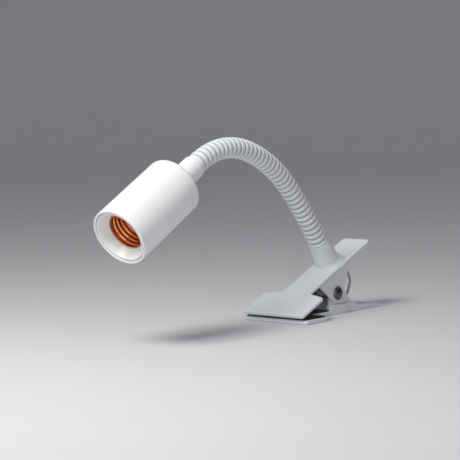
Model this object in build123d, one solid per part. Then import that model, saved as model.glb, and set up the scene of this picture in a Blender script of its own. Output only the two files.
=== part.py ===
"""Clip-on lamp with a screw lampholder on a ribbed flexible neck, as separate pieces.

Frame: millimetres, +Z up, +X across the clip, -Y towards the jaws and the lampholder.
The origin is the middle of the lower jaw's grip face. The lamp is symmetric about X = 0.
"""
import os
from math import cos, degrees, radians, sin, sqrt

from build123d import *

# --- clip: side view is (Y, Z), widths are half widths along X ----------------------------
JAW_HALF = 29.4            # upper jaw
STEM_HALF = 13.4           # upper stem, handle, lever and bracket
GRIP_THICK = 0.9           # rubber grip sheets
GRIP_INSET = 1.6           # from the jaw's edges to the grip sheet
LOWER_BOTTOM = -4.3        # flat underside of the lower half
LOWER_HALF = 31.0          # lower jaw, a little wider
LOWER_FRONT = -14.0
LOWER_WING_END = 14.0
BRACKET_FRONT = 41.0       # front edge of the lower half's side walls
LEDGE_Z = 3.5              # top of the full width part of the side walls
CHANNEL_END = 74.0
LEVER_START = 78.1
LEVER_END = 112.3
LEVER_TOP = 0.1            # lever's top face at its start
LEVER_TIP_TOP = -1.9
FLOOR_THICK = 2.0
PIVOT = (50.8, 12.5)       # pin axis in side view
WALL = 2.0                 # ears and skins
UPPER_EAR_OUT = STEM_HALF
UPPER_EAR_IN = STEM_HALF - WALL
LOWER_EAR_OUT = UPPER_EAR_IN - 0.3
LOWER_EAR_IN = LOWER_EAR_OUT - WALL
UPPER_EAR_R = 8.0
LOWER_EAR_R = 9.0
PLATE_FRONT = (-17.6, 3.1)  # upper plate's top front edge in side view
PLATE_TILT = 23.4
PLATE_LEN = 124.0
PLATE_THICK = 2.9
WING_LEN = 29.5            # along the plate, at the outer corners
WING_ROOT = 33.5           # along the plate, where the wing meets the stem

# --- pin and spring ----------------------------------------------------------------------
PIN_R = 2.5
PIN_HOLE_R = 2.56
PIN_HEAD_R = 5.5
PIN_HEAD_H = 2.9
CAP_R = 5.0
WIRE_R = 1.0
COIL_R = 4.6               # mean radius of the spring's coil
COIL_TURNS = 6
LEG_X = 7.2

# --- neck: four tangent arcs in the plane X = 0, from the boss to the lampholder -----------
NECK_START = (44.5, 52.6)
NECK_HEADING = 125.3
NECK_ARCS = ((60.7, 373.5), (59.0, 119.4), (57.38, 70.4), (20.0, 4000.0))   # length, bend radius
RIB_PITCH = 4.82
RIBS_PER_LINK = 3
LINKS = 12
SLEEVE_R = 7.85            # crest of a rib
GROOVE_R = 7.0
SLEEVE_IN_R = 4.9
CORE_R = 4.6               # steel gooseneck inside the sleeve
CORE_IN_R = 3.1
LINK_GAP = 2.0             # between neighbouring links, centred on a joint
BOSS_TOP_R = 8.3
BOSS_BASE_R = 10.9
BOSS_AXIS_LEN = 21.3       # from the neck's start to the plate's top face
BOSS_LIP = 1.2             # the boss's mouth stands this far past the neck's start
NIPPLE_R = 5.0
NIPPLE_HOLE_R = 5.06
NUT_THICK = 4.0
NUT_R = 8.0
GLAND_HOLE_R = 2.75        # for a round flex of 5.4 mm

# --- lampholder, on its own axis: 0 is the back face, HEAD_LEN is the mouth -----------------
COLLAR_LEN = 23.42
COLLAR_R = 8.8
HEAD_R = 22.0
HEAD_LEN = 68.5
HEAD_WALL = 1.8
HEAD_BACK_WALL = 2.6
HEAD_BACK_FILLET = 4.0
INSERT_R = 19.9
RECESS_R = 17.9             # at the mouth
RECESS_END_R = 15.0         # at its foot
RECESS_DEPTH = 7.8
SEAT_R = 14.4
SHELL_R = 14.1
SHELL_IN_R = 13.1
SHELL_LEN = 23.0
SHELL_STEP = 4.0            # shelf that stops a lamp short of the centre contact
SHELL_FRONT = HEAD_LEN - RECESS_DEPTH - 0.6
SHELL_BACK = SHELL_FRONT - SHELL_LEN
BASE_THICK = 3.0
SCREW_R = 1.5
POST_X = 9.0               # terminals and fixing screws, off the axis


def save(name, part):
    """Write one node's STEP file."""
    export_step(part, f"parts/{name}.step")


def slab(outline, x_low, x_high):
    """Solid of a side view outline, from x_low to x_high."""
    face = make_face(outline)
    return extrude(Plane.YZ.offset(x_low) * face, x_high - x_low)


def both_sides(part):
    """The part and its mirror image across X = 0."""
    return [part, mirror(part, Plane.YZ)]


def rod_x(radius, x_low, x_high, centre=PIVOT):
    """Round rod along X through a side view point."""
    plane = Plane(origin=(x_low, *centre), x_dir=(0, 1, 0), z_dir=(1, 0, 0))
    return extrude(plane * Circle(radius), x_high - x_low)


def turned(points):
    """Solid of revolution about Z of an outline of (radius, height) points."""
    face = make_face(Polyline(*points, close=True))
    return revolve(Plane.XZ * face, Axis.Z)


def tube(outer, inner, low, high):
    """Round tube on Z."""
    return turned([(inner, low), (outer, low), (outer, high), (inner, high)])


def neck_point(distance):
    """Side view point and heading, in degrees, at a distance along the neck."""
    y, z = NECK_START
    heading = radians(NECK_HEADING)
    left = distance
    for length, radius in NECK_ARCS:
        run = min(left, length)
        after = heading + run / radius
        y += radius * (sin(after) - sin(heading))
        z -= radius * (cos(after) - cos(heading))
        heading = after
        left -= run
    return y, z, degrees(heading)


def plane_at(y, z, heading):
    """Plane whose normal points along the heading in side view, with X across."""
    angle = radians(heading)
    return Plane(origin=(0, y, z), x_dir=(1, 0, 0), z_dir=(0, cos(angle), sin(angle)))


NECK_LEN = RIB_PITCH * (RIBS_PER_LINK * LINKS + 2)
LINK_LEN = RIB_PITCH * RIBS_PER_LINK
JOINTS = [RIB_PITCH + LINK_LEN * i for i in range(LINKS + 1)]
NECK_END = neck_point(NECK_LEN)
HEAD_HEADING = NECK_END[2]
COLLAR_PLANE = plane_at(*NECK_END)
HEAD_PLANE = COLLAR_PLANE.offset(COLLAR_LEN)
BOSS_PLANE = plane_at(*NECK_START, NECK_HEADING + 180)
PIN_PLANE = Plane(origin=(0, *PIVOT), x_dir=(0, 1, 0), z_dir=(1, 0, 0))
PLATE_PLANE = Plane(
    origin=(0, *PLATE_FRONT),
    x_dir=(1, 0, 0),
    z_dir=(0, -sin(radians(PLATE_TILT)), cos(radians(PLATE_TILT))),
)


def plate_outline(extra=0.0):
    """T shaped plan of the upper plate: jaw wing, stem and handle."""
    half = JAW_HALF - extra
    points = [
        (half, extra),
        (half, WING_LEN),
        (STEM_HALF, WING_ROOT),
        (STEM_HALF, PLATE_LEN),
    ]
    outline = points + [(-x, y) for x, y in reversed(points)]
    face = make_face(Polyline(*outline, close=True))
    corners = face.vertices().group_by(Axis.Y)
    face = fillet(corners[0], 2.0)
    face = fillet(face.vertices().group_by(Axis.Y)[-1], 3.5)
    roots = [v for v in face.vertices() if abs(abs(v.X) - STEM_HALF) < 0.1 and abs(v.Y - WING_ROOT) < 0.1]
    return fillet(roots, 6.0)


def upper_ear():
    """One ear of the upper half, narrowing down to the pin."""
    y, z = PIVOT
    front_slope = radians(35.6)
    rear_slope = radians(69.0)
    front = (y - UPPER_EAR_R * sin(front_slope), z - UPPER_EAR_R * cos(front_slope))
    rear = (y + UPPER_EAR_R * sin(rear_slope), z - UPPER_EAR_R * cos(rear_slope))
    front_top = (front[0] - 24.5 * cos(front_slope), front[1] + 24.5 * sin(front_slope))
    rear_top = (rear[0] + 31.0 * cos(rear_slope), rear[1] + 31.0 * sin(rear_slope))
    outline = Curve() + [
        Line(front_top, front),
        ThreePointArc(front, (y, z - UPPER_EAR_R), rear),
        Line(rear, rear_top),
        Line(rear_top, front_top),
    ]
    return slab(outline, UPPER_EAR_IN, UPPER_EAR_OUT)


def clip_upper():
    """Upper half: plate, ears and the hollow boss that the neck stands in."""
    plate = extrude(PLATE_PLANE * plate_outline(), -PLATE_THICK)
    mouth = BOSS_PLANE.offset(-BOSS_LIP)
    boss = Solid.make_cone(BOSS_TOP_R, BOSS_BASE_R, BOSS_AXIS_LEN + 5.0, plane=mouth)
    below = PLATE_PLANE.offset(-PLATE_THICK)
    trim = extrude(below * Rectangle(80, 400), -60)
    part = plate + (boss - trim)
    for ear in both_sides(upper_ear()):
        part += ear
    part -= extrude(mouth * Circle(NIPPLE_HOLE_R), 42)
    part -= extrude(mouth * Circle(SLEEVE_IN_R + 0.9), 8.0 + BOSS_LIP)
    part -= rod_x(PIN_HOLE_R, -20, 20)
    return part


def lower_plan():
    """Lower jaw and the stem that joins it to the bracket, in plan."""
    wing = Pos(0, (LOWER_FRONT + LOWER_WING_END) / 2) * RectangleRounded(
        2 * LOWER_HALF, LOWER_WING_END - LOWER_FRONT, 2.0
    )
    stem_end = BRACKET_FRONT + 4
    stem = Pos(0, stem_end / 2) * Rectangle(2 * STEM_HALF, stem_end)
    return wing + stem


def lower_ear():
    """One ear of the lower half, inside the upper ear."""
    y, z = PIVOT
    outline = Polyline(
        (BRACKET_FRONT + 1.2, LEDGE_Z - 1),
        (BRACKET_FRONT + 1.6, 10.9),
        (y - 5.5, z + 7.12),
        (y + 5.5, z + 7.12),
        (66.1, 10.0),
        (69.6, 6.5),
        (73.4, LEDGE_Z - 0.5),
        close=True,
    )
    ear = slab(outline, LOWER_EAR_IN, LOWER_EAR_OUT)
    return ear + rod_x(LOWER_EAR_R, LOWER_EAR_IN, LOWER_EAR_OUT)


def clip_lower():
    """Lower half: jaw, bracket with two ears, and finger lever."""
    jaw_top = -GRIP_THICK
    jaw = extrude(Plane.XY.offset(LOWER_BOTTOM) * lower_plan(), jaw_top - LOWER_BOTTOM)
    side = Polyline(
        (BRACKET_FRONT, LOWER_BOTTOM),
        (BRACKET_FRONT, LEDGE_Z),
        (73.6, LEDGE_Z),
        (75.6, LEDGE_Z - 2.3),
        (LEVER_START, LEVER_TOP),
        (LEVER_END - 1.2, LEVER_TIP_TOP),
        (LEVER_END, LEVER_TIP_TOP - 0.8),
        (LEVER_END, LOWER_BOTTOM),
        close=True,
    )
    part = jaw + slab(side, -STEM_HALF, STEM_HALF)
    channel = Polyline(
        (BRACKET_FRONT - 1, LOWER_BOTTOM + FLOOR_THICK),
        (BRACKET_FRONT - 1, 20),
        (CHANNEL_END, 20),
        (CHANNEL_END, LOWER_BOTTOM + FLOOR_THICK),
        close=True,
    )
    part -= slab(channel, -LOWER_EAR_IN, LOWER_EAR_IN)
    slope = (LEVER_TOP - LEVER_TIP_TOP) / (LEVER_END - LEVER_START)
    for low, high in ((LEVER_START, 93.0), (94.8, LEVER_END - 3.0)):
        roof_low = LEVER_TOP - slope * (low - LEVER_START) - 1.6
        roof_high = LEVER_TOP - slope * (high - LEVER_START) - 1.6
        pocket = Polyline(
            (low, LOWER_BOTTOM - 1),
            (low, roof_low),
            (high, roof_high),
            (high, LOWER_BOTTOM - 1),
            close=True,
        )
        part -= slab(pocket, -UPPER_EAR_IN, UPPER_EAR_IN)
    for ear in both_sides(lower_ear()):
        part += ear
    return part - rod_x(PIN_HOLE_R, -20, 20)


def lower_grip():
    """Rubber sheet on the lower jaw and its stem; its top face is the grip face."""
    depth = LOWER_WING_END - LOWER_FRONT - 2 * GRIP_INSET
    centre = (LOWER_WING_END + LOWER_FRONT) / 2
    jaw = Pos(0, centre) * RectangleRounded(2 * (LOWER_HALF - GRIP_INSET), depth, 2.0)
    tongue = Pos(0, BRACKET_FRONT / 2) * Rectangle(2 * (STEM_HALF - GRIP_INSET), BRACKET_FRONT - 1.0)
    return extrude(Plane.XY.offset(-GRIP_THICK) * (jaw + tongue), GRIP_THICK)


def upper_grip():
    """Rubber sheet under the upper jaw."""
    length = WING_LEN - 2 * GRIP_INSET
    plan = Pos(0, GRIP_INSET + 1.0 + length / 2) * RectangleRounded(
        2 * (JAW_HALF - GRIP_INSET), length - 2.0, 2.0
    )
    return extrude(PLATE_PLANE.offset(-PLATE_THICK) * plan, -GRIP_THICK)


def pivot_pin():
    """Steel pin with a domed head on the +X side."""
    low = -UPPER_EAR_OUT - 2.6
    face = UPPER_EAR_OUT + 0.2
    crown = (PIN_HEAD_R**2 + PIN_HEAD_H**2) / (2 * PIN_HEAD_H)
    half_way = PIN_HEAD_R / 2
    height = face + PIN_HEAD_H - crown + sqrt(crown**2 - half_way**2)
    outline = Curve() + [
        Line((0, low), (PIN_R, low)),
        Line((PIN_R, low), (PIN_R, face)),
        Line((PIN_R, face), (PIN_HEAD_R, face)),
        ThreePointArc((PIN_HEAD_R, face), (half_way, height), (0, face + PIN_HEAD_H)),
        Line((0, face + PIN_HEAD_H), (0, low)),
    ]
    return PIN_PLANE * revolve(Plane.XZ * make_face(outline), Axis.Z)


def pin_cap():
    """Push-on domed cap that holds the pin's plain end."""
    face = -UPPER_EAR_OUT - 0.2
    cap = fillet(rod_x(CAP_R, face - 3.4, face).edges().group_by(Axis.X)[0], 2.2)
    return cap - rod_x(PIN_R, face - 2.4, face)


def spring_coil():
    """Coil and lower leg of the torsion spring; the coil is one plain tube."""
    half = COIL_TURNS * WIRE_R
    coil = tube(COIL_R + WIRE_R, COIL_R - WIRE_R, -half, half)
    y, z = PIVOT
    start = Vector(-half + 2 * WIRE_R, y, z - COIL_R)
    end = Vector(-half + 2 * WIRE_R, 71.5, LOWER_BOTTOM + FLOOR_THICK + WIRE_R)
    along = (end - start).normalized()
    leg = extrude(Plane(origin=start, z_dir=along) * Circle(0.8 * WIRE_R), (end - start).length)
    return PIN_PLANE * coil + leg


def spring_leg():
    """Upper leg of the torsion spring, which bears on the handle."""
    y, z = PIVOT
    route = FilletPolyline(
        (LEG_X, y + 3.0, z - COIL_R),
        (LEG_X, y + 21.3, z - COIL_R + 1.4),
        (LEG_X, y + 25.7, z + 7.6),
        (LEG_X, y + 18.2, z + 23.6),
        radius=5.0,
    )
    start = Plane(origin=route @ 0, z_dir=route % 0)
    return sweep(start * Circle(WIRE_R), path=route)


def sleeve_ribs(first, count, low, high):
    """Ribbed sleeve over a stretch of the neck, from low to high along it."""
    middle = (low + high) / 2
    y0, z0, _ = neck_point(low)
    y1, z1, _ = neck_point(middle)
    y2, z2, _ = neck_point(high)
    path = ThreePointArc((0, y0, z0), (0, y1, z1), (0, y2, z2))
    body = sweep(Plane(origin=path @ 0, z_dir=path % 0) * Circle(GROOVE_R), path=path)
    for i in range(count):
        centre = first + RIB_PITCH * i
        half = RIB_PITCH / 2 - 0.45
        rib_low = max(centre - half, low)
        rib_high = min(centre + half, high)
        plane = plane_at(*neck_point((rib_low + rib_high) / 2))
        ring = extrude(plane * Circle(SLEEVE_R), (rib_high - rib_low) / 2, both=True)
        hollow = extrude(plane * Circle(GROOVE_R - 0.8), RIB_PITCH, both=True)
        body += chamfer(ring.edges(), 0.5) - hollow
    bore = sweep(Plane(origin=path @ 0, z_dir=path % 0) * Circle(SLEEVE_IN_R), path=path)
    return body - bore


def sleeve_link(index):
    """One link of the neck's ribbed sleeve, between two joints."""
    low = JOINTS[index] + LINK_GAP / 2
    high = JOINTS[index + 1] - LINK_GAP / 2
    return sleeve_ribs(JOINTS[index] + RIB_PITCH / 2, RIBS_PER_LINK, low, high)


def core_link(index):
    """One link of the steel gooseneck inside the sleeve."""
    low = JOINTS[index] + LINK_GAP / 2
    high = JOINTS[index + 1] - LINK_GAP / 2
    points = [neck_point(low), neck_point((low + high) / 2), neck_point(high)]
    path = ThreePointArc(*[(0, y, z) for y, z, _ in points])
    start = Plane(origin=path @ 0, z_dir=path % 0)
    return sweep(start * (Circle(CORE_R) - Circle(CORE_IN_R)), path=path)


def core_end_clip():
    """Steel gooseneck's end inside the boss, above the nipple."""
    y, z, _ = neck_point(JOINTS[0] - LINK_GAP / 2)
    high = (Vector(0, y, z) - BOSS_PLANE.origin).length
    return BOSS_PLANE * tube(CORE_R, CORE_IN_R, -high, 8.1)


def core_end_head():
    """Steel gooseneck's end inside the collar."""
    y, z, _ = neck_point(JOINTS[-1] + LINK_GAP / 2)
    low = (Vector(0, y, z) - COLLAR_PLANE.origin).length
    return COLLAR_PLANE * tube(CORE_R, CORE_IN_R, -low, 1.4)


def clip_side_rib():
    """Sleeve's last rib at the clip, seated in the boss's mouth."""
    return sleeve_ribs(RIB_PITCH / 2 + 0.2, 1, BOSS_LIP + 0.1, JOINTS[0] - LINK_GAP / 2)


def head_side_rib():
    """Sleeve's last rib at the lampholder, seated on the collar."""
    low = JOINTS[-1] + LINK_GAP / 2
    return sleeve_ribs(JOINTS[-1] + RIB_PITCH / 2, 1, low, NECK_LEN - 0.1)


def neck_nipple():
    """Threaded tube that carries the gooseneck through the boss."""
    low = 8.2
    high = BOSS_AXIS_LEN + PLATE_THICK + NUT_THICK + 3.4
    nipple = tube(NIPPLE_R, GLAND_HOLE_R + 1.0, low, high)
    return BOSS_PLANE * nipple


def hex_nut(distance, thick, across, hole):
    """Hexagon nut on Z, from a distance along the axis."""
    face = RegularPolygon(across, 6) - Circle(hole)
    return extrude(Plane.XY.offset(distance) * face, thick)


def neck_nut():
    """Nut and the wedge washer that seats it square on the sloping plate."""
    low = BOSS_AXIS_LEN + PLATE_THICK + 2.2
    return BOSS_PLANE * hex_nut(low, NUT_THICK - 0.8, NUT_R, NIPPLE_R)


def wedge_washer():
    """Wedge washer between the plate's underside and the nut."""
    low = BOSS_AXIS_LEN
    high = BOSS_AXIS_LEN + PLATE_THICK + 2.1
    blank = BOSS_PLANE * tube(NUT_R - 0.4, NIPPLE_HOLE_R, low, high)
    above = extrude(PLATE_PLANE.offset(-PLATE_THICK - 0.02) * Rectangle(100, 400), 60)
    return blank - above


def cord_gland():
    """Soft gland in the nipple's lower end, where the flex comes in."""
    high = BOSS_AXIS_LEN + PLATE_THICK + NUT_THICK + 3.4
    sleeve = tube(GLAND_HOLE_R + 0.98, GLAND_HOLE_R, high - 7.0, high + 1.6)
    flange = tube(NIPPLE_R - 0.2, GLAND_HOLE_R, high + 0.02, high + 1.6)
    return BOSS_PLANE * (sleeve + flange)


def head_collar():
    """Smooth collar between the sleeve and the lampholder."""
    outline = [
        (NIPPLE_HOLE_R, 0.0),
        (COLLAR_R - 0.6, 0.0),
        (COLLAR_R, 0.6),
        (COLLAR_R, COLLAR_LEN - 0.1),
        (NIPPLE_HOLE_R, COLLAR_LEN - 0.1),
    ]
    return COLLAR_PLANE * turned(outline)


def head_nipple():
    """Threaded tube through the collar and the cover's back wall."""
    back = -COLLAR_LEN + 1.5
    front = HEAD_BACK_WALL + NUT_THICK + 2.0
    return HEAD_PLANE * tube(NIPPLE_R, GLAND_HOLE_R + 1.0, back, front)


def head_nut():
    """Nut inside the cover that clamps it to the collar."""
    return HEAD_PLANE * hex_nut(HEAD_BACK_WALL + 0.05, NUT_THICK, NUT_R, NIPPLE_R)


def holder_cover():
    """White round cover of the lampholder."""
    outer = Solid.make_cylinder(HEAD_R, HEAD_LEN)
    outer = fillet(outer.edges().group_by(Axis.Z)[0], HEAD_BACK_FILLET)
    outer = fillet(outer.edges().group_by(Axis.Z)[-1], 0.5)
    inner = Pos(0, 0, HEAD_BACK_WALL) * Solid.make_cylinder(HEAD_R - HEAD_WALL, HEAD_LEN)
    inner = fillet(inner.edges().group_by(Axis.Z)[0], HEAD_BACK_FILLET - 1.5)
    hole = Solid.make_cylinder(NIPPLE_HOLE_R, 20)
    return HEAD_PLANE * (outer - inner - hole)


def holder_insert():
    """White lampholder body: mouth ring, recess and the seat of the screw shell."""
    mouth = HEAD_LEN - 0.6
    shoulder = HEAD_LEN - RECESS_DEPTH
    back = SHELL_BACK - BASE_THICK - 1.5
    outline = [
        (RECESS_R, mouth),
        (INSERT_R, mouth),
        (INSERT_R, shoulder - 2.0),
        (SEAT_R + 2.0, shoulder - 5.5),
        (SEAT_R + 2.0, back),
        (SEAT_R, back),
        (SEAT_R, shoulder),
        (RECESS_END_R, shoulder),
    ]
    return HEAD_PLANE * turned(outline)


def screw_shell():
    """Copper screw shell of the lampholder."""
    step = SHELL_BACK + SHELL_STEP
    outline = [
        (8.0, SHELL_BACK),
        (SHELL_R, SHELL_BACK),
        (SHELL_R, SHELL_FRONT),
        (SHELL_IN_R, SHELL_FRONT),
        (SHELL_IN_R, step),
        (SHELL_IN_R - 1.1, step),
        (SHELL_IN_R - 1.1, SHELL_BACK + 1.0),
        (8.0, SHELL_BACK + 1.0),
    ]
    return HEAD_PLANE * turned(outline)


def contact_base():
    """Moulded disc that carries the contacts and closes the insert's back."""
    low = SHELL_BACK - BASE_THICK - 0.1
    disc = tube(SEAT_R - 0.1, 0.0, low, SHELL_BACK - 0.1)
    for x in (-POST_X, POST_X):
        disc -= Pos(x, 0, low - 1) * Solid.make_cylinder(SCREW_R + 0.05, BASE_THICK + 2)
    return HEAD_PLANE * disc


def centre_contact():
    """Sprung brass tongue that meets the lamp's centre contact."""
    top = SHELL_BACK
    outline = Polyline(
        (-5.5, top), (5.5, top), (5.5, top + 0.5), (2.5, top + 0.5),
        (0.0, top + 3.4), (-3.0, top + 3.4), (-3.0, top + 2.9),
        (-0.3, top + 2.9), (1.9, top + 0.5), (-5.5, top + 0.5), close=True,
    )
    return HEAD_PLANE * extrude(Plane.XZ * make_face(outline), 2.5, both=True)


def terminal_blocks():
    """Two brass terminals behind the contact base."""
    top = SHELL_BACK - BASE_THICK - 0.15
    blocks = []
    for x in (-POST_X, POST_X):
        block = Pos(x, 0, top - 3.5) * Box(6.0, 6.5, 7.0)
        blocks.append(block - Pos(x, 0, top - 8) * Solid.make_cylinder(SCREW_R, 9))
    return HEAD_PLANE * Compound(children=blocks)


def terminal_screws():
    """Two screws that hold the terminals and the wires' ends."""
    top = SHELL_BACK - BASE_THICK - 0.15
    screws = []
    for x in (-POST_X, POST_X):
        shank = Pos(x, 0, top - 7.2) * Solid.make_cylinder(SCREW_R, 9.2)
        head = Pos(x, 0, top - 9.0) * Solid.make_cylinder(2.8, 1.95)
        slot = Pos(x, 0, top - 9.0) * Box(6.0, 0.7, 1.4)
        screws.append(shank + head - slot)
    return HEAD_PLANE * Compound(children=screws)


os.makedirs("parts", exist_ok=True)
save("clip_upper", clip_upper())
save("clip_lower", clip_lower())
save("lower_jaw_grip", lower_grip())
save("upper_jaw_grip", upper_grip())
save("pivot_pin", pivot_pin())
save("pin_cap", pin_cap())
save("spring_coil", spring_coil())
save("spring_upper_leg", spring_leg())
save("neck_nipple", neck_nipple())
save("neck_nut", neck_nut())
save("wedge_washer", wedge_washer())
save("cord_gland", cord_gland())
save("sleeve_end_clip", clip_side_rib())
save("sleeve_end_head", head_side_rib())
for number in range(LINKS):
    save(f"sleeve_link_{number + 1:02d}", sleeve_link(number))
    save(f"core_link_{number + 1:02d}", core_link(number))
save("core_end_clip", core_end_clip())
save("core_end_head", core_end_head())
save("head_collar", head_collar())
save("head_nipple", head_nipple())
save("head_nut", head_nut())
save("holder_cover", holder_cover())
save("holder_insert", holder_insert())
save("screw_shell", screw_shell())
save("contact_base", contact_base())
save("centre_contact", centre_contact())
save("terminal_blocks", terminal_blocks())
save("terminal_screws", terminal_screws())

for number, distance in enumerate(JOINTS):
    y, z, heading = neck_point(distance)
    print(f"neck joint {number:2d}: y {y:8.3f} z {z:8.3f} heading {heading:7.2f}")
print("lampholder back", HEAD_PLANE.origin, "heading", HEAD_HEADING)
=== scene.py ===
"""Looks of the clip-on lamp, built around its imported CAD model.

The frame is the CAD model's: metres, +Z up, +X across the clip along the hinge pin, -Y towards the
jaw tips and the lampholder, with the origin in the middle of the lower jaw's grip face. Sizes are
fields in millimetres, and MM turns them into metres.
"""

import logging
import math
from dataclasses import dataclass, field
from enum import Enum
from typing import Callable, Iterable, Sequence

import bmesh
import bpy
from mathutils import Matrix, Vector


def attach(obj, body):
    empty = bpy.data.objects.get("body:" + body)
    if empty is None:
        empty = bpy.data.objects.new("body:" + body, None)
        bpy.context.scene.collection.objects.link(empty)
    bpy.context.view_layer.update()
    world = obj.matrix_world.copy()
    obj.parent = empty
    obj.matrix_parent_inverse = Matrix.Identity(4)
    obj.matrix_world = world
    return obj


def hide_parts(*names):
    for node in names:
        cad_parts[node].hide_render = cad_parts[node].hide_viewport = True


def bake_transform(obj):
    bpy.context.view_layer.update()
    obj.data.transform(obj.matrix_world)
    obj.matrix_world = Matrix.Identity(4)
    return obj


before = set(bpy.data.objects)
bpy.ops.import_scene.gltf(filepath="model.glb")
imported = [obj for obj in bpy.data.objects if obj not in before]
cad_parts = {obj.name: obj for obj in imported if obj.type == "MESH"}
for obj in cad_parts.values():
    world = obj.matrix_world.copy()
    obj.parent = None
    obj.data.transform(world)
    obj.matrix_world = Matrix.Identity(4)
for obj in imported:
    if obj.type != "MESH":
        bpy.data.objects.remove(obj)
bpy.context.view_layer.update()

MM = 0.001
LINKS = 12
Point = tuple[float, float]
log = logging.getLogger("clip_lamp")


# ---------------------------------------------------------------- shader graphs


class Value:
    """A socket that takes part in Python expressions by adding Math nodes."""

    def __init__(self, graph: "Graph", socket: bpy.types.NodeSocket) -> None:
        """Wraps a socket of a graph."""
        self.graph = graph
        self.socket = socket

    def _maths(self, operation: str, first: object, second: object) -> "Value":
        """One Math node on two values or links."""
        return self.graph.add("ShaderNodeMath", {"operation": operation}, {0: first, 1: second})

    def __add__(self, other: object) -> "Value":
        """Sum."""
        return self._maths("ADD", self, other)

    def __radd__(self, other: object) -> "Value":
        """Sum, reflected."""
        return self._maths("ADD", other, self)

    def __sub__(self, other: object) -> "Value":
        """Difference."""
        return self._maths("SUBTRACT", self, other)

    def __mul__(self, other: object) -> "Value":
        """Product."""
        return self._maths("MULTIPLY", self, other)

    def rising(self, low: float, high: float) -> "Value":
        """Smooth step from 0 at low to 1 at high."""
        settings = {"interpolation_type": "SMOOTHSTEP"}
        return self.graph.add("ShaderNodeMapRange", settings, {0: self, 1: low, 2: high})


class Graph:
    """The node tree of one material."""

    def __init__(self, name: str) -> None:
        """Makes an empty material.

        Args:
            name: the material's name.
        """
        self.material = bpy.data.materials.new(name)
        self.material.use_nodes = True
        self.tree = self.material.node_tree
        self.tree.nodes.clear()

    def add(self, kind: str, settings: dict | None = None, inputs: dict | None = None,
            output: int | str = 0) -> Value:
        """Adds one node.

        Args:
            kind: the node's type.
            settings: properties set first.
            inputs: values or links, by socket name or number.
            output: which output to return.

        Returns:
            The chosen output, or the node's first input where it has none.
        """
        node = self.tree.nodes.new(kind)
        for key, value in (settings or {}).items():
            setattr(node, key, value)
        for key, value in (inputs or {}).items():
            if isinstance(value, Value):
                self.tree.links.new(value.socket, node.inputs[key])
            else:
                node.inputs[key].default_value = value
        return Value(self, node.outputs[output] if node.outputs else node.inputs[0])

    def place(self) -> Value:
        """Object coordinates."""
        return self.add("ShaderNodeTexCoord", output="Object")

    def noise(self, size_mm: float, detail: float = 2.0, where: Value | None = None) -> Value:
        """Noise from 0 to 1 whose features are about size_mm across."""
        inputs = {"Vector": where or self.place(), "Scale": 1.0 / (size_mm * MM), "Detail": detail}
        return self.add("ShaderNodeTexNoise", None, inputs, "Fac")

    def mix(self, factor: object, first: object, second: object) -> Value:
        """Colour between first and second."""
        inputs = {"Factor": factor, 6: first, 7: second}
        return self.add("ShaderNodeMix", {"data_type": "RGBA"}, inputs, 2)

    def bump(self, height: Value, depth_mm: float, strength: float = 1.0) -> Value:
        """Normal of a relief of the given depth."""
        inputs = {"Height": height, "Distance": depth_mm * MM, "Strength": strength}
        return self.add("ShaderNodeBump", None, inputs)

    def surface(self, inputs: dict) -> bpy.types.Material:
        """Closes the graph with a Principled shader."""
        shader = self.add("ShaderNodeBsdfPrincipled", None, inputs)
        self.add("ShaderNodeOutputMaterial", None, {"Surface": shader})
        return self.material


def shade(colour: Sequence[float], factor: float) -> tuple[float, float, float, float]:
    """The colour, lighter or darker, with full alpha."""
    return (*[min(1.0, c * factor) for c in colour], 1.0)


# ---------------------------------------------------------------- finishes


@dataclass(frozen=True)
class Moulding:
    """Moulded plastic or rubber with a fine eroded grain, faint uneven gloss, and optional painted shade in
    grooves.
    """

    name: str
    slot: str
    colour: tuple[float, float, float]
    roughness: float
    grain_mm: float = 0.35
    grain_depth_mm: float = 0.006
    ripple_mm: float = 9.0
    ripple_depth_mm: float = 0.02
    mottle: float = 0.03
    # painted shade: colour factor for the grooves, which darkens them where shade falls; 1.0 paints none
    painted_groove_shade: float = 1.0

    def material(self) -> bpy.types.Material:
        """Builds the material."""
        graph = Graph(self.name)
        place = graph.place()
        patches = graph.noise(14.0, 3.0, place).rising(0.35, 0.65)
        grain = graph.noise(self.grain_mm, 3.0, place)
        ripple = graph.noise(self.ripple_mm, 1.0, place)
        tone = graph.mix(patches, shade(self.colour, 1 - self.mottle), shade(self.colour, 1.0))
        # Painted shade: darkens the grooves by their depth, where shade falls between the sleeve's ribs.
        if self.painted_groove_shade < 1.0:
            groove = graph.add("ShaderNodeAttribute", {"attribute_name": "groove"}, None, "Fac")
            tone = graph.mix(groove, tone, shade(self.colour, self.painted_groove_shade))
        rough = self.roughness + (grain - 0.5) * 0.10 + (patches - 0.5) * 0.04
        relief = grain * self.grain_depth_mm + ripple * self.ripple_depth_mm
        normal = graph.bump(relief, 1.0)
        inputs = {"Base Color": tone, "Roughness": rough, "Normal": normal, "IOR": 1.5}
        return graph.surface(inputs)


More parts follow.
